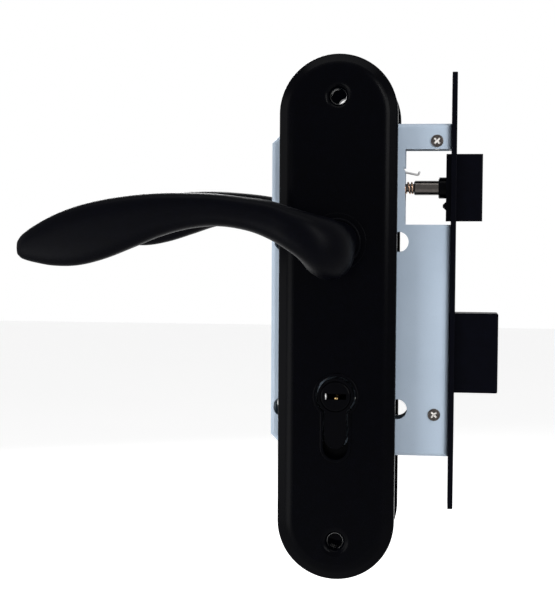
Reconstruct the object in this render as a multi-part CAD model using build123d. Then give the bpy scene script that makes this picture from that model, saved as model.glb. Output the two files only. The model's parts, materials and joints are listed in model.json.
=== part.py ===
from build123d import *
import os
from math import asin, cos, degrees, hypot, radians, sin, sqrt

# A mortise lockset with lever handles: a sheet steel lock case with a faceplate, a sprung latch
# and a deadbolt, a long backplate and a wave shaped lever on each side of the door, and a double
# profile cylinder. Millimetres. X points out of the faceplate towards the strike, Y goes through
# the door from the front (outside) to the back, and Z is up. The origin is the centre of the
# faceplate's outer face.

# Where the axes lie
door_thickness = 40.0
backset = 55.0
centres = 72.0
spindle_above_centre = 23.5
latch_above_spindle = 26.2
deadbolt_above_cylinder = 19.2

# Faceplate
faceplate_length = 208.0
faceplate_width = 22.0
faceplate_thickness = 2.5
faceplate_edge_radius = 0.8
faceplate_screw_spacing = 192.0
faceplate_screw_hole = 4.6
faceplate_screw_head = 8.6
bolt_slot_gap = 0.3

# Lock case
case_thickness = 16.0
case_wall = 1.2
case_depth = 86.0
case_above_spindle = 56.5
case_below_spindle = 102.8
case_chamfer = 9.0
case_bend = 2.2
window_width = 21.8
window_height = 35.9
window_above_spindle = 8.5
spring_notch_width = 1.4
spring_notch_depth = 0.9
through_hole = 9.7
through_hole_spacing = 55.0
through_hole_pitch = 80.5
through_hole_from_faceplate = 27.2
through_hole_above_spindle = 0.2
post_radius = 3.4
post_rivet_radius = 2.0
post_inset_front = 9.4
post_inset_rear = 9.5
post_inset_top = 8.3
post_inset_bottom = 20.3
rear_post_drop = 12.5
rear_post_rise = 12.8
case_screw_radius = 1.6
case_screw_length = 8.0
case_screw_head = 6.0
case_screw_head_height = 0.9
case_screw_head_round = 0.5
screw_cross_length = 3.6
screw_cross_width = 0.9
screw_cross_depth = 0.6
rivet_radius = 1.5
rivet_head_radius = 2.6
rivet_head_height = 1.0
rivet_below_case_top = 6.0
rivets_below_spindle = (4.0, 29.0)
rivet_below_cylinder = 13.6

# Backplates
plate_radius = 27.6
plate_above_spindle = 59.9
plate_below_spindle = 132.0
plate_depth = 9.0
plate_wall = 2.2
plate_bevel_width = 5.6
plate_bevel_depth = 3.2
plate_bevel_inner_round = 8.0
plate_bevel_outer_round = 1.5
plate_screw_hole = 7.2
plate_screw_above = 67.7
plate_screw_spacing = 208.6
plate_boss_radius = 8.2
dimple_radius = 7.0
hub_boss_radius = 13.8
hub_boss_height = 0.5
hub_boss_round = 0.4
cutout_gap = 0.9
cutout_drop = 4.5
rim_width = 1.5
rim_height = 0.7
rim_round = 0.55
cutout_wall = 2.0

# Levers
neck_radius = 9.7
neck_end_gap = 1.5
neck_straight = 3.0
arm_offset = 40.0
elbow_radius = 16.0
back_lever_lift = 4.0
handle_turn = 45.0
bush_wall = 1.3
bush_flange_height = 1.4
bush_flange_lip = 0.4
bush_flange_round = 0.9
bush_inside = 1.0
running_gap = 0.05
circlip_thickness = 1.2
circlip_depth = 1.0
circlip_reach = 2.4
circlip_mouth = 5.0
washer_thickness = 0.8
washer_width = 2.0
axial_gap = 0.1
grub_radius = 2.5
grub_length = 5.0
grub_from_plate = 9.0
grub_gap = 0.35

# Spindle and follower
spindle_size = 8.0
spindle_length = 92.0
spindle_chamfer = 0.6
socket_play = 0.6
socket_end_gap = 1.0
follower_play = 0.1
follower_radius = 10.4
journal_radius = 9.0
follower_side_gap = 0.2
arm_width = 8.0
arm_reach = 20.0
arm_thickness = 6.0
lug_reach = 17.0
lug_width = 6.0
follower_bush_wall = 1.9
follower_bush_flange = 1.5
follower_flange_height = 0.8
stop_radius = 2.0
lug_stop_from_end = 3.0
arm_stop_along = 14.0

# Latch
latch_height = 32.0
latch_thickness = 11.0
latch_projection = 12.35
latch_inside = 4.9
latch_nose = 3.0
latch_edge_radius = 0.8
latch_socket_depth = 6.0
latch_travel = 12.96
collar_radius = 5.1
collar_length = 3.6
shaft_radius = 3.5
shaft_length = 11.7
rod_radius = 2.0
guide_thickness = 2.0
latch_spring_room = 11.44
guide_height = 11.0
tail_gap = 0.6
tail_bar_height = 9.0
tail_hook_width = 5.8
tail_thickness = 7.0
hook_gap = 1.2
hook_clearance = 0.6
tail_socket_depth = 6.0
tail_pin_radius = 1.2
latch_spring_radius = 2.7
latch_spring_wire = 0.6
latch_spring_turns = 9
latch_lug_above_bottom = 5.3
latch_lug_height = 4.0
latch_lug_tip = 1.2
latch_lug_width = 6.0
latch_lug_reach = 1.5
shaft_chamfer = 0.5
collar_chamfer = 0.4

# Return spring of the follower
spring_wire = 1.0
spring_coil_radius = 4.5
spring_post_radius = 3.6
spring_post_from_faceplate = 33.0
spring_post_above_latch = 13.4
spring_quarter_turns = 19
spring_pitch = 2.2
spring_from_sheet = 0.2
spring_straight = 1.0
spring_leg_reach = 6.2
spring_leg_drop = 3.0
spring_hook_reach = 0.6
spring_hook_rise = 1.7
spring_foot_from_lug_end = 1.5

# Deadbolt
deadbolt_height = 38.2
deadbolt_thickness = 12.0
deadbolt_throw = 20.6
deadbolt_inside = 20.4
deadbolt_edge_radius = 0.8
bolt_tail_thickness = 4.0
bolt_tail_height = 22.0
bolt_tail_end = 64.0
bolt_tail_overlap = 10.4
bolt_tail_below_top = 6.3
bolt_rivet_radius = 2.0
bolt_rivet_shares = (0.2, 0.8)
guide_post_radius = 3.0
guide_slot_gap = 0.3
guide_post_before_spindle = 6.0
guide_post_below_tail_top = 6.2
cam_notch_gap = 0.4
cam_notch_top_gap = 0.5
detent_nose_from_axis = 5.0
detent_depth = 1.2
detent_groove_half = 2.4
detent_leaf = 0.6
detent_width = 5.0
detent_anchor_radius = 2.4
detent_anchor_ahead = 30.0
detent_head_gap = 0.35
detent_seat_gap = 0.4
detent_nose_half = 4.5
detent_leaf_above = 2.2
detent_hold_half = 2.0

# Profile cylinder
cylinder_head_radius = 8.5
cylinder_tail_width = 10.0
cylinder_height = 33.0
cylinder_proud = 2.0
case_cutout_gap = 0.3
plug_radius = 6.5
plug_nose_radius = 5.0
plug_collar_radius = 7.2
plug_collar_depth = 1.0
plug_collar_round = 0.9
cam_half_width = 4.7
cam_ring_radius = 8.4
cam_reach = 15.0
cam_tooth_width = 8.0
cam_gap = 1.2
cam_opening = 20.0
cam_end_gap = 1.0
clip_thickness = 0.7
clip_gap = 0.1
clip_reach = 2.5
clip_mouth = 4.0
plug_nose_gap = 0.3
plug_end_gap = 0.1
plug_groove = 1.2
keyway_width = 10.0
keyway_height = 2.6
keyway_depth = 23.0
pin_radius = 1.45
pin_gap = 0.05
key_pin_inset = 0.25
key_pin_in_keyway = 0.4
pin_count = 5
pin_pitch = 4.0
first_pin = 5.0
driver_length = 3.8
pin_spring_length = 10.3
pin_spring_wall = 0.4
pin_spring_gap = 0.15
chamber_plug_length = 3.0
fixing_screw_above_bottom = 4.1
fixing_screw_radius = 2.5
fixing_screw_length = 60.0
fixing_screw_head = 9.2
fixing_cross_length = 4.6
fixing_cross_width = 1.1
fixing_cross_depth = 1.6
shear_gap = 0.2

# How far a cutting solid reaches past the surface it opens
past = 1.0

# Places worked out from the sizes above
spindle_x = -backset
spindle_z = spindle_above_centre
cylinder_z = spindle_z - centres
latch_z = spindle_z + latch_above_spindle
deadbolt_z = cylinder_z + deadbolt_above_cylinder
case_half = case_thickness / 2
inner_half = case_half - case_wall
case_front = -faceplate_thickness
case_rear = case_front - case_depth
case_top = spindle_z + case_above_spindle
case_bottom = spindle_z - case_below_spindle
plate_back_y = door_thickness / 2
plate_face_y = plate_back_y + plate_depth
plate_top_centre = spindle_z + plate_above_spindle
plate_bottom_centre = spindle_z - plate_below_spindle
cylinder_half = plate_face_y + cylinder_proud
cylinder_bottom = cylinder_z + cylinder_head_radius - cylinder_height


def slab(sketch, y_low, y_high):
    """A sketch drawn in X and Z, as a solid between two depths through the door."""
    return extrude(Plane.XZ.offset(-y_high) * sketch, y_high - y_low)


def bar(sketch, x_low, x_high):
    """A sketch drawn in Y and Z, as a solid between two places along X."""
    return extrude(Plane.YZ.offset(x_low) * sketch, x_high - x_low)


def disc(x, z, radius, y_low, y_high):
    """A round solid along Y."""
    return slab(Pos(x, z) * Circle(radius), y_low, y_high)


def ring(x, z, outer, inner, y_low, y_high):
    """A round solid along Y with a bore."""
    return slab(Pos(x, z) * (Circle(outer) - Circle(inner)), y_low, y_high)


def rod(y, z, radius, x_low, x_high):
    """A round solid along X."""
    return bar(Pos(y, z) * Circle(radius), x_low, x_high)


def block(x_low, x_high, y_low, y_high, z_low, z_high):
    """A box between two corners."""
    size = (x_high - x_low, y_high - y_low, z_high - z_low)
    middle = ((x_low + x_high) / 2, (y_low + y_high) / 2, (z_low + z_high) / 2)
    return Pos(*middle) * Box(*size)


def rectangle(x_low, x_high, z_low, z_high):
    """A flat rectangle in X and Z between two corners."""
    middle = Pos((x_low + x_high) / 2, (z_low + z_high) / 2)
    return middle * Rectangle(x_high - x_low, z_high - z_low)


def polygon(points):
    """A flat face in X and Z through its corners in order."""
    return make_face(Polyline(*points, close=True))


def to_back(shape):
    """The same shape on the other side of the door."""
    return mirror(shape, Plane.XZ)


def save(name, *solids):
    """Write one node, a single solid or a group of separate ones."""
    shape = solids[0] if len(solids) == 1 else Compound(children=list(solids))
    shape.label = name
    export_step(shape, f"parts/{name}.step")


def profile(gap, drop=0):
    """The outline of the profile cylinder, made larger all round and longer at its foot."""
    tail_radius = cylinder_tail_width / 2 + gap
    tail_end = cylinder_bottom + cylinder_tail_width / 2 - drop
    head = Pos(spindle_x, cylinder_z) * Circle(cylinder_head_radius + gap)
    tail = rectangle(spindle_x - tail_radius, spindle_x + tail_radius, tail_end, cylinder_z)
    foot = Pos(spindle_x, tail_end) * Circle(tail_radius)
    return head + tail + foot


def countersunk(y, z, hole, head, x_face):
    """A countersunk hole through the faceplate, as the solid to cut away."""
    depth = (head - hole) / 2
    shank = rod(y, z, hole / 2, x_face - faceplate_thickness, x_face)
    cone = Pos(x_face - depth / 2, y, z) * Rot(0, 90, 0) * Cone(hole / 2, head / 2, depth)
    return shank + cone


# Faceplate and what fastens it

def bolt_slot(z, height, thickness):
    """The slot in the faceplate and in the case's front wall that a bolt slides through."""
    gap = 2 * bolt_slot_gap
    return Pos(0, z) * Rectangle(thickness + gap, height + gap)


rivet_heights = [
    case_top - rivet_below_case_top,
    *(spindle_z - drop for drop in rivets_below_spindle),
    cylinder_z - rivet_below_cylinder,
]


def make_faceplate():
    """The black steel strip that closes the mortise."""
    plate = bar(Rectangle(faceplate_width, faceplate_length), -faceplate_thickness, 0)
    plate = fillet(plate.edges().filter_by(Axis.X), faceplate_edge_radius)
    plate = fillet(plate.faces().sort_by(Axis.X)[-1].edges(), faceplate_edge_radius / 2)
    plate -= bar(bolt_slot(latch_z, latch_height, latch_thickness), -faceplate_thickness, 0)
    plate -= bar(bolt_slot(deadbolt_z, deadbolt_height, deadbolt_thickness), -faceplate_thickness, 0)
    for side in (-1, 1):
        plate -= countersunk(
            0, side * faceplate_screw_spacing / 2, faceplate_screw_hole, faceplate_screw_head, 0
        )
    plate -= countersunk(0, fixing_z, 2 * (fixing_screw_radius + bolt_slot_gap), fixing_screw_head, 0)
    for z in rivet_heights:
        plate -= rod(0, z, rivet_radius, -faceplate_thickness, 0)
    return plate


def make_faceplate_rivets():
    """Rivets that hold the faceplate to the front wall of the case."""
    inner = case_front - case_wall
    for z in rivet_heights:
        shank = rod(0, z, rivet_radius, inner, 0)
        yield shank + rod(0, z, rivet_head_radius, inner - rivet_head_height, inner)


# Lock case

fixing_z = cylinder_bottom + fixing_screw_above_bottom
through_z = spindle_z + through_hole_above_spindle
through_holes = [
    (-through_hole_from_faceplate - column, through_z - row)
    for column in (0, through_hole_spacing)
    for row in (0, through_hole_pitch)
]
posts = [
    (-post_inset_front, case_top - post_inset_top),
    (-post_inset_front, case_bottom + post_inset_bottom),
    (case_rear + post_inset_rear, case_top - rear_post_drop),
    (case_rear + post_inset_rear, case_bottom + rear_post_rise),
]
follower_hole = journal_radius + running_gap + follower_bush_wall
window_low = spindle_z + window_above_spindle
notch_z = latch_z + spring_post_above_latch - spring_coil_radius


def case_outline(inset):
    """The case seen from the side, with its two rear corners cut off."""
    low, high = case_bottom + inset, case_top - inset
    back, cut = case_rear + inset, case_chamfer - inset * (2 - sqrt(2))
    return polygon([
        (case_front, low),
        (back + cut, low),
        (back, low + cut),
        (back, high - cut),
        (back + cut, high),
        (case_front, high),
    ])


def side_openings(y_low, y_high):
    """Everything that is cut through one side of the case."""
    window = rectangle(
        case_front - window_width, case_front, window_low, window_low + window_height
    )
    notch = rectangle(
        case_front - window_width - spring_notch_depth,
        case_front - window_width,
        notch_z - spring_notch_width / 2,
        notch_z + spring_notch_width / 2,
    )
    cut = slab(window + notch, y_low, y_high) + slab(profile(case_cutout_gap), y_low, y_high)
    cut += disc(spindle_x, spindle_z, follower_hole, y_low, y_high)
    for x, z in through_holes:
        cut += disc(x, z, through_hole / 2, y_low, y_high)
    return cut


def make_case():
    """The pressed tray: the front side sheet with its bent walls and front flange."""
    outer = slab(case_outline(0), -case_half, inner_half)
    outer = fillet(outer.faces().sort_by(Axis.Y)[0].edges(), case_bend)
    flange = case_front - case_wall
    hollow = slab(case_outline(case_wall), -inner_half, inner_half)
    hollow -= block(flange, 0, -case_half, case_half, case_bottom, case_top)
    hollow = fillet(hollow.faces().sort_by(Axis.Y)[0].edges(), case_bend - case_wall)
    case = outer - hollow - side_openings(-case_half, -inner_half)
    case -= block(
        flange - case_bend, case_front, -case_half, case_half,
        window_low, window_low + window_height,
    )
    inside = 2 * (inner_half - bolt_slot_gap)
    case -= bar(bolt_slot(deadbolt_z, deadbolt_height, inside), flange - case_bend, case_front)
    case -= rod(0, fixing_z, fixing_screw_radius + bolt_slot_gap, flange, case_front)
    for z in rivet_heights:
        case -= rod(0, z, rivet_radius, flange, case_front)
    for x, z in posts:
        case -= disc(x, z, case_screw_radius, -case_half, -inner_half)
    return case


def make_cover():
    """The flat sheet that closes the case at the back."""
    cover = slab(case_outline(0), inner_half, case_half)
    cover -= side_openings(inner_half, case_half)
    for x, z in posts:
        cover -= disc(x, z, post_rivet_radius, inner_half, case_half)
    return cover


def make_posts():
    """Spacer posts riveted to the cover, each with a thread for a case screw."""
    for x, z in posts:
        post = disc(x, z, post_radius, -inner_half, inner_half)
        post += disc(x, z, post_rivet_radius, inner_half, case_half)
        yield post - disc(x, z, case_screw_radius, -inner_half, case_screw_length - case_half)


def cross_recess(x, z, y_face):
    """The cross shaped recess in a screw head that faces the front."""
    cross = Rectangle(screw_cross_length, screw_cross_width)
    cross += Rectangle(screw_cross_width, screw_cross_length)
    return slab(Pos(x, z) * Rot(0, 0, 45) * cross, y_face, y_face + screw_cross_depth)


def make_case_screws():
    """Pan head screws that close the case."""
    face = -case_half - case_screw_head_height
    for x, z in posts:
        head = disc(x, z, case_screw_head / 2, face, -case_half)
        head = fillet(head.faces().sort_by(Axis.Y)[0].edges(), case_screw_head_round)
        shank = disc(x, z, case_screw_radius, -case_half, case_screw_length - case_half)
        yield head + shank - cross_recess(x, z, face)


# Backplates

def stadium(inset):
    """The outline of a backplate, a long strip with round ends."""
    radius = plate_radius - inset
    ends = [Pos(spindle_x, z) * Circle(radius) for z in (plate_bottom_centre, plate_top_centre)]
    sides = rectangle(
        spindle_x - radius, spindle_x + radius, plate_bottom_centre, plate_top_centre
    )
    return ends[0] + sides + ends[1]


plate_screw_top = spindle_z + plate_screw_above
plate_screws = [plate_screw_top, plate_screw_top - plate_screw_spacing]
bush_outer = neck_radius + running_gap + bush_wall
bush_end = -plate_face_y + plate_wall + bush_inside


def bevelled(solid, share):
    """A solid whose front edge is sloped by a share of the plate's bevel."""
    front = solid.faces().sort_by(Axis.Y)[0]
    return chamfer(
        front.edges(), plate_bevel_width * share, plate_bevel_depth * share, reference=front
    )


def make_plate():
    """The front backplate: a hollow shell with bosses round its screw holes and its cutouts."""
    face = -plate_face_y
    inside = face + plate_wall
    plate = bevelled(slab(stadium(0), face, -plate_back_y), 1.0)
    bevel_end = face + plate_bevel_depth
    outer = plate.edges().filter_by_position(Axis.Y, bevel_end - past, bevel_end + past)
    plate = fillet(outer, plate_bevel_outer_round)
    plate = fillet(plate.faces().sort_by(Axis.Y)[0].edges(), plate_bevel_inner_round)
    across, down = 1 / plate_bevel_width, 1 / plate_bevel_depth
    share = 1 - plate_wall * (across + down - hypot(across, down))
    plate -= bevelled(slab(stadium(plate_wall), inside, -plate_back_y), share)
    for z in plate_screws:
        plate += disc(spindle_x, z, plate_boss_radius, inside, -plate_back_y)
    plate += slab(profile(cutout_gap + cutout_wall, cutout_drop), inside, -plate_back_y)
    rim = slab(profile(cutout_gap + rim_width, cutout_drop), face - rim_height, face)
    plate += fillet(rim.faces().sort_by(Axis.Y)[0].edges(), rim_round)
    hub = disc(spindle_x, spindle_z, hub_boss_radius, face - hub_boss_height, face)
    plate += fillet(hub.faces().sort_by(Axis.Y)[0].edges(), hub_boss_round)
    plate -= disc(spindle_x, spindle_z, bush_outer, face - hub_boss_height, -plate_back_y)
    plate -= slab(profile(cutout_gap), face - rim_height, -plate_back_y)
    pocket_floor = -plate_back_y - plate_wall
    plate -= slab(profile(cutout_gap, cutout_drop), face - rim_height, pocket_floor)
    for z in plate_screws:
        plate -= disc(spindle_x, z, plate_screw_hole / 2, face, -plate_back_y)
        mouth = plate.edges().sort_by_distance((spindle_x, face, z))[0]
        plate = fillet(mouth, dimple_radius - plate_screw_hole / 2)
    return plate


def make_neck_bush():
    """The plastic bush that a lever's neck turns in, with a flange on the plate's boss."""
    flange_face = -plate_face_y - hub_boss_height
    bore = neck_radius + running_gap
    bush = ring(spindle_x, spindle_z, bush_outer, bore, flange_face, bush_end)
    flange_radius = bush_outer + bush_flange_lip
    outer_face = flange_face - bush_flange_height
    flange = ring(spindle_x, spindle_z, flange_radius, bore, outer_face, flange_face)
    rim = flange.faces().sort_by(Axis.Y)[0].edges().sort_by(SortBy.RADIUS)[-1]
    return bush + fillet(rim, bush_flange_round)


# Levers

arm_y = -plate_face_y - arm_offset

# Along the arm, outwards from the spindle: distance, middle height, half height, half depth
arm_sections = [
    (elbow_radius, 5.0, 10.0, 9.2),
    (26.0, 9.6, 8.5, 8.2),
    (36.0, 12.2, 7.3, 7.4),
    (49.0, 13.9, 7.1, 6.8),
    (62.0, 13.6, 7.9, 6.4),
    (75.0, 11.8, 9.6, 6.2),
    (87.0, 8.9, 11.6, 6.0),
    (100.0, 5.4, 13.2, 5.7),
    (112.0, 2.5, 13.3, 5.3),
    (123.0, 0.3, 11.4, 4.7),
    (132.0, -1.4, 8.3, 3.9),
    (138.0, -2.7, 5.3, 3.0),
    (140.6, -3.2, 2.5, 1.6),
]
# Between the neck and the elbow: middle height, half height, half depth
neck_section = (-1.2, 9.9, 9.5)
# Round the elbow: turn in degrees, middle height, half height, half depth
elbow_sections = [
    (0.0, -3.4, 11.7, 10.0),
    (30.0, -2.0, 12.8, 10.5),
    (60.0, 0.2, 12.4, 10.1),
]


def section(x, y, z, heading, half_height, half_depth):
    """An oval across the lever, with its long way upright, facing along the heading."""
    plane = Plane(origin=(x, y, z), x_dir=(0, 0, 1), z_dir=heading)
    return plane * Ellipse(half_height, half_depth)


def lever_body():
    """The neck, elbow and wave shaped arm of the front lever as one smooth form."""
    elbow_y = arm_y + elbow_radius
    neck_y = -plate_face_y - hub_boss_height - bush_flange_height - neck_straight
    drop, half_height, half_depth = neck_section
    middle_y = (neck_y + elbow_y) / 2
    sections = [
        section(spindle_x, neck_y, spindle_z, (0, -1, 0), neck_radius, neck_radius),
        section(spindle_x, middle_y, spindle_z + drop, (0, -1, 0), half_height, half_depth),
    ]
    for turn, z, half_height, half_depth in elbow_sections:
        angle = radians(turn)
        x = spindle_x - elbow_radius * (1 - cos(angle))
        y = elbow_y - elbow_radius * sin(angle)
        heading = (-sin(angle), -cos(angle), 0)
        sections.append(section(x, y, spindle_z + z, heading, half_height, half_depth))
    for reach, z, half_height, half_depth in arm_sections:
        x = spindle_x - reach
        sections.append(section(x, arm_y, spindle_z + z, (-1, 0, 0), half_height, half_depth))
    body = loft(sections)
    inner_end = -plate_back_y - neck_end_gap
    return body + disc(spindle_x, spindle_z, neck_radius, neck_y, inner_end)


def make_lever(lift):
    """The front lever with its socket, grub screw hole and circlip groove, lifted by an angle."""
    socket = spindle_size + socket_play
    lever = lever_body()
    turn = Pos(spindle_x, 0, spindle_z) * Rot(0, lift, 0) * Pos(-spindle_x, 0, -spindle_z)
    square = Pos(spindle_x, spindle_z) * Rectangle(socket, socket)
    lever -= slab(square, -spindle_length / 2 - socket_end_gap, 0)
    lever -= grub_shape(socket / 2, neck_radius + past)
    low, high = circlip_span()
    groove = neck_radius - circlip_depth
    lever -= ring(spindle_x, spindle_z, neck_radius + past, groove, low, high)
    return turn * lever


def grub_shape(z_near, z_far):
    """A round solid down from the spindle, in the underside of a front lever's neck."""
    y = -plate_face_y - grub_from_plate
    length = z_far - z_near
    return Pos(spindle_x, y, spindle_z - z_near - length / 2) * Cylinder(grub_radius, length)


def circlip_span():
    """Where the front circlip lies along the neck, behind the bush and the washer."""
    low = bush_end + 2 * axial_gap + washer_thickness
    return low, low + circlip_thickness


def make_circlip():
    """The front circlip, an open ring in the neck's groove."""
    low, high = circlip_span()
    groove = neck_radius - circlip_depth
    clip = ring(spindle_x, spindle_z, groove + circlip_reach, groove, low, high)
    half = circlip_mouth / 2
    mouth = rectangle(spindle_x - half, spindle_x + half, spindle_z - 2 * neck_radius, spindle_z)
    return clip - slab(mouth, low, high)


def make_washer():
    """The steel washer between the front bush and its circlip."""
    low = bush_end + axial_gap
    bore = neck_radius + running_gap
    return ring(spindle_x, spindle_z, bore + washer_width, bore, low, low + washer_thickness)


# Spindle and follower

def make_spindle():
    """The square bar through both levers and the follower."""
    square = Pos(spindle_x, spindle_z) * Rectangle(spindle_size, spindle_size)
    bar_solid = slab(square, -spindle_length / 2, spindle_length / 2)
    ends = bar_solid.faces().sort_by(Axis.Y)
    return chamfer(ends[0].edges() + ends[-1].edges(), spindle_chamfer)


def make_follower():
    """The hub that the spindle turns, with an arm for the latch and a lug for its spring."""
    half = inner_half - follower_side_gap
    hub = disc(spindle_x, spindle_z, follower_radius, -half, half)
    hub += disc(spindle_x, spindle_z, journal_radius, -case_half, case_half)
    arm = rectangle(
        spindle_x - arm_width / 2, spindle_x + arm_width / 2, spindle_z, spindle_z + arm_reach
    )
    lug = rectangle(
        spindle_x, spindle_x + lug_reach, spindle_z - lug_width / 2, spindle_z + lug_width / 2
    )
    hub += slab(arm, -arm_thickness / 2, arm_thickness / 2)
    hub += slab(lug, -half, half)
    square = spindle_size + follower_play
    hole = Pos(spindle_x, spindle_z) * Rectangle(square, square)
    return hub - slab(hole, -case_half, case_half)


def make_follower_bush():
    """The front plastic bush that the follower turns in."""
    bore = journal_radius + running_gap
    bush = ring(spindle_x, spindle_z, follower_hole, bore, -case_half, -inner_half)
    flange_radius = follower_hole + follower_bush_flange
    outer_face = -case_half - follower_flange_height
    return bush + ring(spindle_x, spindle_z, flange_radius, bore, outer_face, -case_half)


def make_stops():
    """Two posts that end the follower's turn, one under its lug and one beside its arm."""
    under_lug = spindle_z - lug_width / 2 - stop_radius - axial_gap
    lug_x = spindle_x + lug_reach - lug_stop_from_end
    yield disc(lug_x, under_lug, stop_radius, -inner_half, inner_half)
    turn = radians(handle_turn)
    side = arm_width / 2 + stop_radius + axial_gap
    x = spindle_x - side * cos(turn) - arm_stop_along * sin(turn)
    z = spindle_z - side * sin(turn) + arm_stop_along * cos(turn)
    yield disc(x, z, stop_radius, -inner_half, inner_half)


# Latch

latch_back = -latch_inside
collar_back = latch_back - collar_length
shaft_back = collar_back - shaft_length
guide_front = shaft_back - latch_travel - latch_spring_room
guide_back = guide_front - guide_thickness
tail_front = guide_back - tail_gap
hook_face = spindle_x - arm_width / 2 - hook_gap
tail_back = hook_face - tail_hook_width
rod_back = tail_front - tail_socket_depth
tail_low = latch_z - tail_bar_height / 2
hook_low = spindle_z + follower_radius + hook_clearance


def make_latch_head():
    """The bevelled latch head, with a small lug at its back."""
    low, high = latch_z - latch_height / 2, latch_z + latch_height / 2
    half = latch_thickness / 2
    outline = make_face(Polyline(
        (latch_back, -half),
        (latch_projection, -half),
        (latch_projection, -half + latch_nose),
        (0.0, half),
        (latch_back, half),
        close=True,
    ))
    head = extrude(Plane.XY.offset(low) * outline, high - low)
    head = fillet(head.edges().filter_by(Axis.Z).group_by(Axis.X)[-1], latch_edge_radius)
    lug_low = low + latch_lug_above_bottom
    lug_middle = lug_low + latch_lug_height / 2
    lug = polygon([
        (latch_back, lug_low),
        (latch_back, lug_low + latch_lug_height),
        (latch_back - latch_lug_reach, lug_middle + latch_lug_tip / 2),
        (latch_back - latch_lug_reach, lug_middle - latch_lug_tip / 2),
    ])
    head += slab(lug, -latch_lug_width / 2, latch_lug_width / 2)
    return head - rod(0, latch_z, rod_radius, latch_back, latch_back + latch_socket_depth)


def make_latch_shaft():
    """The turned shaft of the latch: a thick front part and a thin rod through the guide."""
    shaft = rod(0, latch_z, shaft_radius, shaft_back, collar_back)
    shaft = chamfer(shaft.edges().sort_by(Axis.X)[0], shaft_chamfer)
    shaft += rod(0, latch_z, rod_radius, rod_back, shaft_back)
    return shaft + rod(0, latch_z, rod_radius, collar_back, latch_back + latch_socket_depth)


def make_latch_collar():
    """The collar between the latch head and its shaft."""
    collar = rod(0, latch_z, collar_radius, collar_back, latch_back)
    collar -= rod(0, latch_z, rod_radius, collar_back, latch_back)
    rear_edges = collar.edges().group_by(Axis.X)[0]
    return chamfer(rear_edges.sort_by(SortBy.RADIUS)[-1], collar_chamfer)


def make_latch_guide():
    """The bracket across the case that guides the rod and seats the latch spring."""
    guide = block(
        guide_back, guide_front, -inner_half, inner_half,
        latch_z - guide_height / 2, latch_z + guide_height / 2,
    )
    return guide - rod(0, latch_z, rod_radius + running_gap, guide_back, guide_front)


def make_latch_tail():
    """The plate on the rod's end that reaches over the follower and hooks behind its arm."""
    top = latch_z + tail_bar_height / 2
    outline = polygon([
        (tail_front, tail_low),
        (tail_front, top),
        (tail_back, top),
        (tail_back, hook_low),
        (hook_face, hook_low),
        (hook_face, tail_low),
    ])
    tail = slab(outline, -tail_thickness / 2, tail_thickness / 2)
    tail -= rod(0, latch_z, rod_radius, rod_back, tail_front)
    return tail - tail_pin_shape()


def tail_pin_shape():
    """The pin that holds the tail on the rod, before the rod's own bore is taken from it."""
    x = (tail_front + rod_back) / 2
    return disc(x, latch_z, tail_pin_radius, -tail_thickness / 2, tail_thickness / 2)


def biarc(start, start_way, end, end_way):
    """Two tangent arcs from one point and direction to another."""
    chord = end - start
    ways = start_way + end_way
    spare = 2 * (1 - start_way.dot(end_way))
    along = chord.dot(ways)
    reach = (sqrt(along * along + spare * chord.dot(chord)) - along) / spare
    first = start + start_way * reach
    second = end - end_way * reach
    middle = (first + second) * 0.5
    middle_way = (second - first).normalized()
    return [TangentArc(start, middle, tangent=start_way), TangentArc(middle, end, tangent=middle_way)]


def coil_path(point, way, quarter_turns):
    """A coil's line as arcs, two for each quarter turn."""
    arcs = []
    for step in range(quarter_turns):
        arcs += biarc(point(step), way(step), point(step + 1), way(step + 1))
    return arcs


def wire(name, edges, radius, turn):
    """A round wire along joined lines and arcs. Prints its least gap to itself, over points."""
    path = Wire(edges)
    steps = round(path.length / radius)
    points = [path @ (step / steps) for step in range(steps + 1)]
    half_turn = round(turn / 2 / radius)
    apart = min(
        (point - points[later]).length
        for number, point in enumerate(points)
        for later in range(number + half_turn, steps + 1)
    )
    print(f"{name}: least gap to itself {apart - 2 * radius:.2f} mm")
    across = Plane(origin=path @ 0, z_dir=path % 0)
    return sweep(across * Circle(radius), path, transition=Transition.ROUND)


def make_latch_spring():
    """The compression spring round the rod, from the shaft's shoulder to the guide."""
    wire_radius = latch_spring_wire / 2
    start = guide_front + wire_radius
    length = shaft_back - wire_radius - start
    quarters = 4 * latch_spring_turns
    rise = length / quarters

    def point(step):
        angle = radians(90 * step)
        y, z = latch_spring_radius * cos(angle), latch_spring_radius * sin(angle)
        return Vector(start + rise * step, y, latch_z + z)

    def way(step):
        angle = radians(90 * step)
        quarter = latch_spring_radius * radians(90)
        return Vector(rise, -quarter * sin(angle), quarter * cos(angle)).normalized()

    turn = radians(360) * latch_spring_radius
    return wire("latch spring", coil_path(point, way, quarters), wire_radius, turn)


# Return spring of the follower

spring_x = -spring_post_from_faceplate
spring_z = latch_z + spring_post_above_latch


def make_spring_post():
    """The post that carries the follower's return spring."""
    return disc(spring_x, spring_z, spring_post_radius, -inner_half, inner_half)


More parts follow.
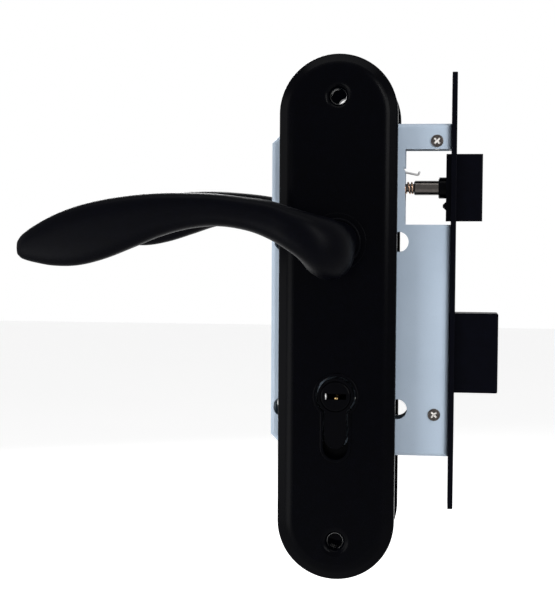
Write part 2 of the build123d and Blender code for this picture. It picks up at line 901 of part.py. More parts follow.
def make_follower_spring():
    """The torsion spring: one leg on the follower's lug, the other out through the window."""
    radius = spring_coil_radius
    wire_radius = spring_wire / 2
    depth = inner_half - wire_radius - spring_from_sheet
    quarters = spring_quarter_turns
    rise = spring_pitch / 4

    # The coil starts at the bottom, beside the front sheet, and ends at its right
    def point(step):
        angle = radians(-90 - 90 * step)
        return Vector(
            spring_x + radius * cos(angle), rise * step - depth, spring_z + radius * sin(angle)
        )

    def way(step):
        angle = radians(-90 - 90 * step)
        quarter = radius * radians(90)
        return Vector(quarter * sin(angle), rise, -quarter * cos(angle)).normalized()

    leg_x = case_front - window_width + spring_leg_reach
    bend = Vector(leg_x, -depth, spring_z - radius - spring_leg_drop)
    hook = bend + Vector(spring_hook_reach, 0, spring_hook_rise)
    start = point(0) - way(0) * spring_straight
    lead = [Line(hook, bend), Line(bend, start), Line(start, point(0))]
    last = point(quarters) + way(quarters) * spring_straight
    lug_top = spindle_z + lug_width / 2 + wire_radius + axial_gap
    foot = Vector(spindle_x + lug_reach - spring_foot_from_lug_end, last.Y, lug_top)
    tail = [Line(point(quarters), last), Line(last, foot)]
    edges = lead + coil_path(point, way, quarters) + tail
    return wire("follower spring", edges, wire_radius, radians(360) * radius)


# Deadbolt

bolt_back = -deadbolt_inside
bolt_low = deadbolt_z - deadbolt_height / 2
bolt_high = deadbolt_z + deadbolt_height / 2
bolt_tail_top = bolt_high - bolt_tail_below_top
bolt_tail_low = bolt_tail_top - bolt_tail_height
bolt_tail_back = -bolt_tail_end
bolt_rivets = [
    (bolt_back + bolt_tail_overlap / 2, bolt_tail_top - bolt_tail_height * share)
    for share in bolt_rivet_shares
]
guide_post_x = spindle_x + guide_post_before_spindle
guide_post_z = bolt_tail_top - guide_post_below_tail_top
notch_top = cylinder_z + cam_reach + cam_notch_top_gap
detent_x = spindle_x - detent_nose_from_axis


def cam_notch_sides():
    """Where the cam's tooth goes into and out of the bolt tail as key and bolt turn together."""
    height = bolt_tail_low - cylinder_z
    half_chord = sqrt(cam_reach ** 2 - height ** 2)
    rise = degrees(asin(half_chord / cam_reach))
    half_tooth = degrees(asin(cam_tooth_width / 2 / cam_reach))
    in_late = deadbolt_throw * (180 - rise + half_tooth) / 360
    out_early = deadbolt_throw * (180 + rise - half_tooth) / 360
    right = spindle_x + half_chord + in_late + cam_notch_gap
    left = spindle_x - half_chord + out_early - cam_notch_gap
    return left, right


def detent_groove(x):
    """A shallow notch in the top of the bolt tail for the nose of the detent spring."""
    return polygon([
        (x - detent_groove_half, bolt_tail_top),
        (x, bolt_tail_top - detent_depth),
        (x + detent_groove_half, bolt_tail_top),
    ])


def make_deadbolt():
    """The bolt head, slotted at the back for its tail."""
    head = block(
        bolt_back, deadbolt_throw, -deadbolt_thickness / 2, deadbolt_thickness / 2,
        bolt_low, bolt_high,
    )
    head = fillet(head.faces().sort_by(Axis.X)[-1].edges(), deadbolt_edge_radius)
    half = bolt_tail_thickness / 2
    head -= block(
        bolt_back, bolt_back + bolt_tail_overlap, -half, half, bolt_tail_low, bolt_tail_top
    )
    for x, z in bolt_rivets:
        head -= disc(x, z, bolt_rivet_radius, -deadbolt_thickness / 2, deadbolt_thickness / 2)
    return head


def make_bolt_tail():
    """The flat tail of the deadbolt, with the cam's notch, a guide slot and detent grooves."""
    left, right = cam_notch_sides()
    front = bolt_back + bolt_tail_overlap
    outline = rectangle(bolt_tail_back, front, bolt_tail_low, bolt_tail_top)
    outline -= rectangle(left, right, bolt_tail_low, notch_top)
    outline -= detent_groove(detent_x) + detent_groove(detent_x + deadbolt_throw)
    slot = guide_post_radius + guide_slot_gap
    slot_low, slot_high = guide_post_x, guide_post_x + deadbolt_throw
    outline -= rectangle(slot_low, slot_high, guide_post_z - slot, guide_post_z + slot)
    outline -= Pos(slot_low, guide_post_z) * Circle(slot)
    outline -= Pos(slot_high, guide_post_z) * Circle(slot)
    tail = slab(outline, -bolt_tail_thickness / 2, bolt_tail_thickness / 2)
    for x, z in bolt_rivets:
        tail -= disc(x, z, bolt_rivet_radius, -deadbolt_thickness / 2, deadbolt_thickness / 2)
    return tail


def make_bolt_rivets():
    """Rivets through the bolt head and its tail."""
    for x, z in bolt_rivets:
        yield disc(x, z, bolt_rivet_radius, -deadbolt_thickness / 2, deadbolt_thickness / 2)


def make_guide_post():
    """The post in the bolt tail's slot."""
    return disc(guide_post_x, guide_post_z, guide_post_radius, -inner_half, inner_half)


anchor_x = detent_x + detent_anchor_ahead
anchor_z = bolt_high + detent_head_gap + detent_leaf + detent_anchor_radius


def make_detent_anchor():
    """The slotted post that holds the detent spring."""
    return disc(anchor_x, anchor_z, detent_anchor_radius, -inner_half, inner_half)


def make_detent_spring():
    """The leaf spring: flat above the head's way in, with a bent nose in a groove of the tail."""
    low = bolt_tail_top - detent_depth + detent_leaf / 2 + detent_seat_gap
    high = bolt_tail_top + detent_leaf_above
    under = anchor_z - detent_anchor_radius - detent_leaf / 2
    bend = bolt_back - deadbolt_throw - detent_leaf
    line = Polyline(
        (detent_x - detent_nose_half, high),
        (detent_x, low),
        (detent_x + detent_nose_half, high),
        (bend, under),
        (anchor_x + detent_hold_half, under),
    )
    return slab(trace(line, detent_leaf), -detent_width / 2, detent_width / 2)


# Profile cylinder

gap_half = cam_half_width + cam_gap
pin_places = [first_pin + pin_pitch * number for number in range(pin_count)]
plug_bore = plug_radius + running_gap
clip_bore = plug_radius - plug_groove
driver_top = -plug_bore - shear_gap


def chamber(y, z_low, z_high, radius):
    """A round solid upright in the cylinder's middle plane."""
    middle = cylinder_z + (z_low + z_high) / 2
    return Pos(spindle_x, y, middle) * Cylinder(radius, z_high - z_low)


def pin_depths():
    """The depth of each pin of both ends."""
    for place in pin_places:
        yield -cylinder_half + place
        yield cylinder_half - place


def make_cylinder_body():
    """The double cylinder's body, one piece across a bridge below the cam."""
    bottom = cylinder_bottom - cylinder_z
    body = slab(profile(0), -cylinder_half, cylinder_half)
    for side in (-1, 1):
        ends = sorted((side * gap_half, side * cylinder_half))
        body -= disc(spindle_x, cylinder_z, plug_bore, *ends)
        collar = sorted((side * (cylinder_half - plug_collar_depth), side * cylinder_half))
        body -= disc(spindle_x, cylinder_z, plug_collar_radius + running_gap, *collar)
    body -= block(
        spindle_x - cam_opening / 2, spindle_x + cam_opening / 2, -gap_half, gap_half,
        cylinder_z - cam_reach - cam_end_gap, cylinder_z + cylinder_head_radius + past,
    )
    for y in pin_depths():
        body -= chamber(y, bottom, -plug_radius + past, pin_radius + pin_gap)
    half = cylinder_tail_width / 2
    return body - rod(0, fixing_z, fixing_screw_radius, spindle_x - half, spindle_x + half)


def clip_span(side):
    """Where a plug's clip lies along the cylinder, just inside the body's gap."""
    far = gap_half - clip_gap
    return sorted((side * far, side * (far - clip_thickness)))


def make_plug(side):
    """One plug with its keyway and pin bores; side is -1 at the front and 1 at the back."""
    outer, inner = side * cylinder_half, side * (cam_half_width + plug_end_gap)
    nose = side * plug_nose_gap
    plug = disc(spindle_x, cylinder_z, plug_radius, *sorted((inner, outer)))
    collar = sorted((side * (cylinder_half - plug_collar_depth), outer))
    rim = disc(spindle_x, cylinder_z, plug_collar_radius, *collar)
    end_face = rim.faces().sort_by(Axis.Y, reverse=side > 0)[0]
    plug += fillet(end_face.edges(), plug_collar_round)
    plug += disc(spindle_x, cylinder_z, plug_nose_radius, *sorted((nose, inner)))
    plug -= ring(spindle_x, cylinder_z, plug_radius + past, clip_bore, *clip_span(side))
    slot = Pos(spindle_x, cylinder_z) * Rectangle(keyway_width, keyway_height)
    plug -= slab(slot, *sorted((outer, side * (cylinder_half - keyway_depth))))
    for place in pin_places:
        y = side * (cylinder_half - place)
        plug -= chamber(y, -plug_radius - past, 0.0, pin_radius + pin_gap)
    return plug


def make_plug_clip(side):
    """The clip that keeps a plug in the body."""
    span = clip_span(side)
    clip = ring(spindle_x, cylinder_z, clip_bore + clip_reach, clip_bore, *span)
    half = clip_mouth / 2
    mouth = rectangle(spindle_x - half, spindle_x + half, cylinder_z, cylinder_z + 2 * clip_bore)
    return clip - slab(mouth, *span)


def make_key_pins(side):
    """The brass pins in one plug, with their points in the keyway."""
    for place in pin_places:
        y = side * (cylinder_half - place)
        top = key_pin_in_keyway - keyway_height / 2
        yield chamber(y, -plug_radius + key_pin_inset, top, pin_radius)


def make_driver_pins():
    """The driver pins below the plugs."""
    for y in pin_depths():
        yield chamber(y, driver_top - driver_length, driver_top, pin_radius)


def make_pin_springs():
    """The pin springs, as thin sleeves of their outer size."""
    top = driver_top - driver_length
    low = top - pin_spring_length
    radius = pin_radius - pin_spring_gap
    for y in pin_depths():
        yield chamber(y, low, top, radius) - chamber(y, low, top, radius - pin_spring_wall)


def make_chamber_plugs():
    """The plugs that close the pin chambers at the bottom of the body."""
    bottom = cylinder_bottom - cylinder_z
    outline = slab(profile(0), -cylinder_half, cylinder_half)
    for y in pin_depths():
        yield chamber(y, bottom, bottom + chamber_plug_length, pin_radius + pin_gap) & outline


def make_cam():
    """The cam between the plugs, its tooth hanging down inside the body's gap."""
    cam = disc(spindle_x, cylinder_z, cam_ring_radius, -cam_half_width, cam_half_width)
    tooth = rectangle(
        spindle_x - cam_tooth_width / 2, spindle_x + cam_tooth_width / 2,
        cylinder_z - cam_reach, cylinder_z,
    )
    tip = Pos(spindle_x, cylinder_z) * Circle(cam_reach)
    cam += slab(tooth & tip, -cam_half_width, cam_half_width)
    bore = plug_nose_radius + running_gap
    return cam - disc(spindle_x, cylinder_z, bore, -cam_half_width, cam_half_width)


def make_fixing_screw():
    """The long countersunk screw from the faceplate into the cylinder."""
    depth = fixing_screw_head / 2 - fixing_screw_radius
    screw = rod(0, fixing_z, fixing_screw_radius, -fixing_screw_length, 0)
    cone = Cone(fixing_screw_radius, fixing_screw_head / 2 - bolt_slot_gap, depth - bolt_slot_gap)
    middle = -(depth - bolt_slot_gap) / 2
    screw += Pos(middle, 0, fixing_z) * Rot(0, 90, 0) * cone
    cross = Rectangle(fixing_cross_length, fixing_cross_width)
    cross += Rectangle(fixing_cross_width, fixing_cross_length)
    return screw - bar(Pos(0, fixing_z) * cross, -fixing_cross_depth, 0)


def front_and_back(shape):
    """A piece and its mirror image on the other side of the door."""
    return shape, to_back(shape)


def main():
    os.makedirs("parts", exist_ok=True)
    plate = make_plate()
    bush = make_neck_bush()
    save("front_plate", plate)
    save("back_plate", to_back(plate))
    save("front_neck_bush", bush)
    save("back_neck_bush", to_back(bush))
    save("lock_case", make_case())
    save("case_cover", make_cover())
    save("case_posts", *make_posts())
    save("case_screws", *make_case_screws())
    save("faceplate", make_faceplate())
    save("faceplate_rivets", *make_faceplate_rivets())
    save("follower_bushes", *front_and_back(make_follower_bush()))
    save("follower_stops", *make_stops())
    save("latch_guide", make_latch_guide())
    save("spring_post", make_spring_post())
    save("bolt_guide_post", make_guide_post())
    save("detent_anchor", make_detent_anchor())

    grub_end = spindle_size / 2 + grub_gap
    grub = grub_shape(grub_end, grub_end + grub_length)
    turn_back = Pos(spindle_x, 0, spindle_z) * Rot(0, back_lever_lift, 0)
    turn_back = turn_back * Pos(-spindle_x, 0, -spindle_z)
    save("front_lever", make_lever(0))
    save("back_lever", to_back(make_lever(back_lever_lift)))
    save("grub_screws", grub, to_back(turn_back * grub))
    save("neck_washers", *front_and_back(make_washer()))
    save("neck_circlips", *front_and_back(make_circlip()))
    save("spindle", make_spindle())
    save("follower", make_follower())
    save("follower_spring", make_follower_spring())

    save("latch_head", make_latch_head())
    save("latch_collar", make_latch_collar())
    save("latch_shaft", make_latch_shaft() - tail_pin_shape())
    save("latch_tail", make_latch_tail())
    save("latch_tail_pin", tail_pin_shape())
    save("latch_spring", make_latch_spring())

    save("deadbolt", make_deadbolt())
    save("deadbolt_tail", make_bolt_tail())
    save("deadbolt_rivets", *make_bolt_rivets())
    save("detent_spring", make_detent_spring())

    save("cylinder_body", make_cylinder_body())
    save("front_plug", make_plug(-1))
    save("rear_plug", make_plug(1))
    save("front_plug_clip", make_plug_clip(-1))
    save("rear_plug_clip", make_plug_clip(1))
    save("front_key_pins", *make_key_pins(-1))
    save("rear_key_pins", *make_key_pins(1))
    save("driver_pins", *make_driver_pins())
    save("pin_springs", *make_pin_springs())
    save("chamber_plugs", *make_chamber_plugs())
    save("cylinder_cam", make_cam())
    save("cylinder_screw", make_fixing_screw())


main()
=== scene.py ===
"""The mortise lockset's looks: finer meshes, materials, light and the camera, around the CAD parts."""
import json
import math

import bmesh
import bpy
from mathutils import Matrix, Vector


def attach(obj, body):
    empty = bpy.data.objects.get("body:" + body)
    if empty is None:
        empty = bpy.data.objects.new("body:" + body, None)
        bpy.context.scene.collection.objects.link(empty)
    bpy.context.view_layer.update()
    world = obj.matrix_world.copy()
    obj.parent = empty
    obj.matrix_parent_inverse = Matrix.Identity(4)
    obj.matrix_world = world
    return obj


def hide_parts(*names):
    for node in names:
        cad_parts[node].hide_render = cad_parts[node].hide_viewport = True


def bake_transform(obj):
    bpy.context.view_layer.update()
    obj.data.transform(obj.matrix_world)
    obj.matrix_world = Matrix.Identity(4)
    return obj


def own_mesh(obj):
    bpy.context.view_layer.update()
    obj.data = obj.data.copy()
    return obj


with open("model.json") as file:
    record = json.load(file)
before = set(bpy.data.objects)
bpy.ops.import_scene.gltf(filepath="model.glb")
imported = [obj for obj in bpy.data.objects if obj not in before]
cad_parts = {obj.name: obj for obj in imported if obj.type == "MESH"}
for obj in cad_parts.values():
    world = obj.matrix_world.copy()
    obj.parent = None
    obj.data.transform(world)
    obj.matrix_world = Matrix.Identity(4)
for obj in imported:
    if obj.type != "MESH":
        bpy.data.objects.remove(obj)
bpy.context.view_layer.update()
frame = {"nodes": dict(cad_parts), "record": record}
MM = 0.001

# Places in the lock's frame, millimetres: X out of the faceplate, Y through the door, Z up
SPINDLE_X, SPINDLE_Z = -55.0, 23.5
CYLINDER_Z = -48.5
CYLINDER_HALF = 31.0
LATCH_Z = 49.7
PLATE_FACE_Y = -29.0

# The case screws: the face of a head, and the depth below it from which the recess is painted pale steel,
# a painted highlight in the cross
SCREW_FACE_Y = -8.9
SCREW_GLINT_DEPTH = 0.5

# The lever's neck, elbow, arm, tip and grub screw hole, as in the part
NECK_RADIUS = 9.7
NECK_INNER_END = -21.5
NECK_OUTER_END = PLATE_FACE_Y - 4.9
ELBOW_RADIUS = 16.0
ARM_Y = PLATE_FACE_Y - 40.0
BACK_LEVER_LIFT = 4.0
TIP_POINT = 0.7
GRUB_Y, GRUB_RADIUS = PLATE_FACE_Y - 9.0, 2.5
GRUB_CUT_DEPTH, GRUB_CUT_BELOW, GRUB_SIDES = 14, 11, 40

# How finely a lever's skin is divided, and the least step between two sections
LEVER_SIDES, LEVER_STEPS, LEAST_STEP = 64, 260, 0.1

# A section across the lever: middle height, half height, half depth and how square the oval is,
# where 2 is an ellipse
ROUND_NECK = (0.0, NECK_RADIUS, NECK_RADIUS, 2.0)
NECK_SECTION = (-1.5, 10.2, 9.5, 2.0)
# Round the elbow: turn in degrees, distance from the elbow's centre, section
ELBOW_SECTIONS = [
    (0, 16.0, (-3.8, 12.3, 9.9, 2.1)),
    (30, 16.4, (-2.9, 13.6, 10.8, 2.2)),
    (60, 16.4, (-0.2, 12.7, 10.4, 2.3)),
]
# Along the arm: distance outwards from the spindle, section
ARM_SECTIONS = [
    (16.0, (5.0, 10.0, 9.2, 2.9)),
    (26.0, (9.6, 8.5, 8.2, 3.0)),
    (36.0, (12.2, 7.3, 7.4, 3.0)),
    (49.0, (13.9, 7.1, 6.8, 3.0)),
    (62.0, (13.6, 7.9, 6.4, 3.0)),
    (75.0, (11.8, 9.6, 6.2, 3.0)),
    (87.0, (8.9, 11.6, 6.0, 3.0)),
    (100.0, (5.4, 13.2, 5.7, 3.0)),
    (112.0, (2.5, 13.3, 5.3, 2.9)),
    (123.0, (0.3, 11.4, 4.7, 2.7)),
    (132.0, (-1.4, 8.3, 3.9, 2.5)),
    (138.0, (-2.7, 5.3, 3.0, 2.3)),
    (139.9, (-3.1, 3.2, 2.0, 2.1)),
]

# The steel insert at the end of each keyway: its size, its rounded edge and where it sits
INSERT_SIZE = (0.9, 1.5, 3.3)
INSERT_EDGE = 0.2
INSERT_OFFSET = 4.5
INSERT_Y = 30.3

# How far a wire's ends are eased, and the most of a leg that a bend may take
WIRE_END_SHARE = 0.72
CORNER_SHARE = 0.45

# The latch spring on its rod, from the guide to the latch
LATCH_COIL_START, LATCH_COIL_END = -44.6, -20.2
LATCH_COIL_RADIUS, LATCH_WIRE = 2.6, 0.42
LATCH_COIL_TURNS, LATCH_COIL_STEPS = 13, 28
LATCH_COIL_CLOSED = 2 * LATCH_WIRE * 1.15
LATCH_COIL_EASE = 0.15

# The follower's spring: its coil, the hooked leg through the window and the leg on the lug
TORSION_X, TORSION_Z = -33.0, LATCH_Z + 13.4
TORSION_RADIUS, TORSION_WIRE = 4.5, 0.5
TORSION_DEPTH, TORSION_RISE = 6.1, 0.55
TORSION_QUARTERS, TORSION_STEPS = 19, 10
TORSION_HOOK_X, TORSION_HOOK_DROP = -18.1, 3.0
TORSION_HOOK, TORSION_LEAD = Vector((0.6, 0, 1.7)), Vector((0.6, 0, 0))
TORSION_TAIL = Vector((0, 0.05, -1.2))
TORSION_HOOK_ROUND, TORSION_TAIL_ROUND = 0.8, 3.0
TORSION_FOOT_X, TORSION_FOOT_Z = 15.5, 3.6
TORSION_LEG_STEPS = 12

# The springs under the driver pins: their tops lie the plug bore's radius, a gap and a pin below
# the cylinder's axis
PIN_COIL_RADIUS, PIN_WIRE = 1.1, 0.18
PIN_COIL_LENGTH, PIN_COIL_TURNS, PIN_COIL_STEPS = 10.0, 11, 14
PLUG_BORE, PIN_GAP, DRIVER_PIN = 6.55, 0.2, 3.8
PIN_COIL_TOP = CYLINDER_Z - PLUG_BORE - PIN_GAP - DRIVER_PIN
PIN_COUNT, PIN_FIRST, PIN_SPACING = 5, 5.0, 4.0

# The camera, worked out from the outlines of the plates, the case and the faceplate
CAMERA_PLACE = (-6.73, -630.48, 27.1)
CAMERA_YAW = 7.1957
CAMERA_PITCH = 2.9130
CAMERA_ROLL = -0.3401
CAMERA_NEAR = 0.01
FOCAL_PIXELS = 1295.58
PICTURE_WIDTH = 555
SENSOR_WIDTH = 36.0

# The lamps: name, place, what it points at, width and height, watts
MIDDLE = (-60, 0, -10)
LAMPS = [
    ("key", (700, -800, 260), MIDDLE, (360, 400), 5.4),
    ("strip", (470, -800, 500), MIDDLE, (90, 200), 2.2),
    ("left", (-900, -330, 60), MIDDLE, (400, 700), 2.9),
    ("overhead", (-60, -330, 860), MIDDLE, (1100, 240), 3.7),
    ("low_left", (-420, -480, -120), (-150, -69, 20), (300, 300), 1.9),
    ("back_key", (-500, 900, 500), MIDDLE, (500, 500), 10),
]
SKY_LIGHT, SKY_SEEN = 0.12, 1.0

# The floor, in metres, and how much of its white is its own
FLOOR_HALF, FLOOR_HEIGHT = 4.0, -0.30
FLOOR_GLOW = 0.75

# Colours
BLACK, WHITE = (0, 0, 0, 1), (1, 1, 1, 1)
COAT_TINT = (0.55, 0.65, 1.8)
NYLON_TINT = (0.6, 0.7, 1.6)
ENAMEL_DEEP, ENAMEL_PALE = (0.345, 0.420, 0.512, 1), (0.385, 0.462, 0.556, 1)
ENAMEL_DUST = (0.30, 0.36, 0.43, 1)
# The screw head's steel: dark plating, darkened further as a painted dark reflection
PLATING_SHADE_DEEP, PLATING_SHADE_PALE = (0.030, 0.027, 0.026, 1), (0.085, 0.075, 0.070, 1)
# Pale steel painted into the screws' cross recess: a painted highlight
RECESS_GLINT_DEEP, RECESS_GLINT_PALE = (0.35, 0.33, 0.32, 1), (0.85, 0.83, 0.80, 1)
FLOOR_DEEP, FLOOR_PALE = 0.80, 0.84


# Materials

class Graph:
    """A material's node tree with short calls for what the finishes need."""

    def __init__(self, name):
        self.material = bpy.data.materials.new(name)
        self.material.use_nodes = True
        self.nodes = self.material.node_tree.nodes
        self.links = self.material.node_tree.links
        self.shader = self.nodes["Principled BSDF"]
        self.place = self.nodes.new("ShaderNodeTexCoord").outputs["Object"]

    def set(self, **values):
        """Constants straight on the shader's own sockets."""
        for key, value in values.items():
            socket = key.replace("_", " ").title().replace("Ior", "IOR")
            self.shader.inputs[socket].default_value = value

    def colour(self, socket):
        """The shader's base colour from a socket."""
        self.links.new(socket, self.shader.inputs["Base Color"])

    def gloss(self, factor, low, high):
        """The shader's roughness, between two values on a factor."""
        self.links.new(self.spread(factor, low, high), self.shader.inputs["Roughness"])

    def scaled(self, scale):
        """Object coordinates times a scale, one number for each axis."""
        node = self.nodes.new("ShaderNodeMapping")
        node.inputs["Scale"].default_value = scale
        self.links.new(self.place, node.inputs["Vector"])
        return node.outputs["Vector"]

    def noise(self, scale, detail=3.0, rough=0.55, stretch=(1, 1, 1)):
        """Noise whose scale is in lumps per metre."""
        node = self.nodes.new("ShaderNodeTexNoise")
        node.inputs["Scale"].default_value = scale
        node.inputs["Detail"].default_value = detail
        node.inputs["Roughness"].default_value = rough
        self.links.new(self.scaled(stretch), node.inputs["Vector"])
        return node.outputs["Fac"]

    def ramp(self, factor, low, high, first, last):
        """Colours or greys between two places on a factor."""
        node = self.nodes.new("ShaderNodeValToRGB")
        node.color_ramp.elements[0].position = low
        node.color_ramp.elements[1].position = high
        node.color_ramp.elements[0].color = first
        node.color_ramp.elements[1].color = last
        self.links.new(factor, node.inputs["Fac"])
        return node.outputs["Color"]

    def spread(self, factor, low, high):
        """A factor stretched from 0..1 to another range."""
        node = self.nodes.new("ShaderNodeMapRange")
        node.inputs["To Min"].default_value = low
        node.inputs["To Max"].default_value = high
        self.links.new(factor, node.inputs["Value"])
        return node.outputs["Result"]

    def mix(self, factor, first, second):
        """Two colours mixed by a factor; each may be a socket or a value."""
        node = self.nodes.new("ShaderNodeMix")
        node.data_type = "RGBA"
        for value, key in ((factor, 0), (first, 6), (second, 7)):
            if hasattr(value, "is_linked"):
                self.links.new(value, node.inputs[key])
            else:
                node.inputs[key].default_value = value
        return node.outputs[2]

    def bump(self, height, distance, strength=1.0):
        """A bump of a real height in metres, on top of the bumps before it."""
        node = self.nodes.new("ShaderNodeBump")
        node.inputs["Strength"].default_value = strength
        node.inputs["Distance"].default_value = distance
        self.links.new(height, node.inputs["Height"])
        normal = self.shader.inputs["Normal"]
        if normal.is_linked:
            self.links.new(normal.links[0].from_socket, node.inputs["Normal"])
        self.links.new(node.outputs["Normal"], normal)


def grey(value, tint=(1, 1, 1)):
    """A grey with a tint, as a colour."""
    return (value * tint[0], value * tint[1], value * tint[2], 1)


def powder_coat(name, base, rough, grain, shine):
    """Matt black powder coat: fine orange peel, a finer grain and small changes of gloss."""
    g = Graph(name)
    deep, pale = grey(base * 0.8, COAT_TINT), grey(base * 1.25, COAT_TINT)
    g.colour(g.ramp(g.noise(260, detail=4), 0.3, 0.7, deep, pale))
    g.gloss(g.noise(900), rough - 0.05, rough + 0.06)
    g.set(specular_ior_level=shine)
    g.bump(g.noise(1300, detail=2, rough=0.5), 0.000018, grain)
    g.bump(g.noise(5200, detail=2, rough=0.6), 0.000006, grain)
    return g.material


def case_paint():
    """Thin pale blue-grey enamel on pressed sheet, with faint drawing lines and dust."""
    g = Graph("case_enamel")
    broad = g.ramp(g.noise(28), 0.3, 0.72, ENAMEL_DEEP, ENAMEL_PALE)
    specks = g.ramp(g.noise(1900, detail=2, rough=0.7), 0.62, 0.74, BLACK, WHITE)
    g.colour(g.mix(specks, broad, ENAMEL_DUST))
    g.gloss(g.noise(420), 0.36, 0.5)
    g.set(specular_ior_level=0.4)
    g.bump(g.noise(700, rough=0.5, stretch=(1, 1, 0.12)), 0.00002, 0.5)
    g.bump(g.noise(2600, detail=2), 0.000006, 0.6)
    return g.material


def metal(name, colour, rough, lines=(1, 1, 1), scale=1500):
    """Bare metal with fine tool or drawing marks across the way that lines stretch."""
    g = Graph(name)
    deep = tuple(c * 0.72 for c in colour) + (1,)
    pale = tuple(colour) + (1,)
    g.colour(g.ramp(g.noise(scale * 0.4, detail=4, rough=0.6, stretch=lines), 0.3, 0.7, deep, pale))
    g.set(metallic=1.0)
    marks = g.noise(scale, rough=0.6, stretch=lines)
    g.gloss(marks, rough - 0.08, rough + 0.1)
    g.bump(marks, 0.00001, 0.6)
    return g.material


def screw_steel():
    """Dark plated screw steel, darkened as a painted dark reflection, with the cross recess painted pale
    and bright as a painted highlight.
    """
    g = Graph("case_screw_steel")
    place = g.nodes.new("ShaderNodeSeparateXYZ")
    g.links.new(g.place, place.inputs["Vector"])
    depth = g.nodes.new("ShaderNodeMapRange")
    depth.inputs["From Min"].default_value = SCREW_FACE_Y * MM
    depth.inputs["From Max"].default_value = (SCREW_FACE_Y + SCREW_GLINT_DEPTH) * MM
    g.links.new(place.outputs["Y"], depth.inputs["Value"])
    # Painted highlight: below the head's face the recess is painted pale steel, standing in for glints in
    # the cross
    recess_glint_mask = g.ramp(depth.outputs["Result"], 0.3, 0.8, BLACK, WHITE)
    recess_glint = g.ramp(g.noise(1400), 0.35, 0.6, RECESS_GLINT_DEEP, RECESS_GLINT_PALE)
    # Dark plating on the head, darkened further as a painted dark reflection
    plating_and_shade = g.ramp(g.noise(900, detail=4), 0.3, 0.7, PLATING_SHADE_DEEP, PLATING_SHADE_PALE)
    g.colour(g.mix(recess_glint_mask, plating_and_shade, recess_glint))
    g.set(metallic=1.0)
    g.gloss(g.noise(1500), 0.18, 0.34)
    g.bump(g.noise(2200), 0.00001, 0.6)
    return g.material


def moulded(name, base, rough):
    """Moulded nylon with a faint mould texture."""
    g = Graph(name)
    g.colour(g.ramp(g.noise(300), 0.3, 0.7, grey(base * 0.85, NYLON_TINT), grey(base * 1.2, NYLON_TINT)))
    g.gloss(g.noise(1200, detail=2), rough - 0.05, rough + 0.05)
    g.set(specular_ior_level=0.02)
    g.bump(g.noise(3000, detail=2), 0.000006, 0.5)
    return g.material


COAT = powder_coat("black_powder_coat", base=0.0005, rough=0.24, grain=0.3, shine=0.022)
LEVER_COAT = powder_coat("black_lever_coat", base=0.0007, rough=0.40, grain=0.25, shine=0.026)
BOLT_COAT = powder_coat("black_bolt_coat", base=0.0012, rough=0.36, grain=0.6, shine=0.025)
PLUG_COAT = powder_coat("black_cylinder_plating", base=0.0004, rough=0.22, grain=0.15, shine=0.03)
CASE = case_paint()
STEEL = metal("zinc_plated_steel", (0.20, 0.19, 0.185), rough=0.26, scale=900)
TURNED = metal("turned_steel", (0.07, 0.064, 0.06), rough=0.22, lines=(6, 1, 1), scale=1400)
COPPER_WIRE = metal("coppered_spring_wire", (0.46, 0.30, 0.21), rough=0.24, scale=2500)
PALE_WIRE = metal("zinc_spring_wire", (0.36, 0.36, 0.365), rough=0.28, scale=2500)
BRASS = metal("turned_brass", (0.80, 0.55, 0.24), rough=0.24, lines=(1, 1, 6), scale=2200)
SCREW = screw_steel()
INSERT_STEEL = metal("hardened_steel", (0.36, 0.36, 0.36), rough=0.30, scale=1600)
NYLON = moulded("black_nylon", base=0.0007, rough=0.30)

FINISHES = {
    "black_coat": COAT,
    "black_cylinder": PLUG_COAT,
    "case_sheet": CASE,
    "bright_steel": STEEL,
    "spring_steel": PALE_WIRE,
    "brass_pins": BRASS,
    "black_nylon": NYLON,
}
NODE_FINISHES = {
    "front_lever": LEVER_COAT,
    "back_lever": LEVER_COAT,
    "latch_head": BOLT_COAT,
    "deadbolt": BOLT_COAT,
    "faceplate": BOLT_COAT,
    "latch_shaft": TURNED,
    "case_screws": SCREW,
}


def finish_nodes():
    """Every CAD node gets the finish of its slot, or its own."""
    for row in frame["record"]["subparts"]:
        node = frame["nodes"][row["node"]]
        material = NODE_FINISHES.get(row["node"], FINISHES[row["material_slot"]])
        node.data.materials.clear()
        node.data.materials.append(material)


# Meshes

def from_bmesh(name, mesh, material, smooth=True):
    """A new object at the origin from a bmesh in metres."""
    bmesh.ops.recalc_face_normals(mesh, faces=mesh.faces)
    data = bpy.data.meshes.new(name)
    mesh.to_mesh(data)
    mesh.free()
    data.materials.append(material)
    if smooth:
        data.polygons.foreach_set("use_smooth", [True] * len(data.polygons))
    piece = bpy.data.objects.new(name, data)
    bpy.context.scene.collection.objects.link(piece)
    return piece


def skin_over(mesh, rings):
    """Faces between each ring of points and the next."""
    for first, second in zip(rings, rings[1:]):
        for k in range(len(first)):
            after = (k + 1) % len(first)
            mesh.faces.new((first[k], first[after], second[after], second[k]))


def circle_angles(count):
    """The angles of points spaced evenly round a circle."""
    return [2 * math.pi * k / count for k in range(count)]


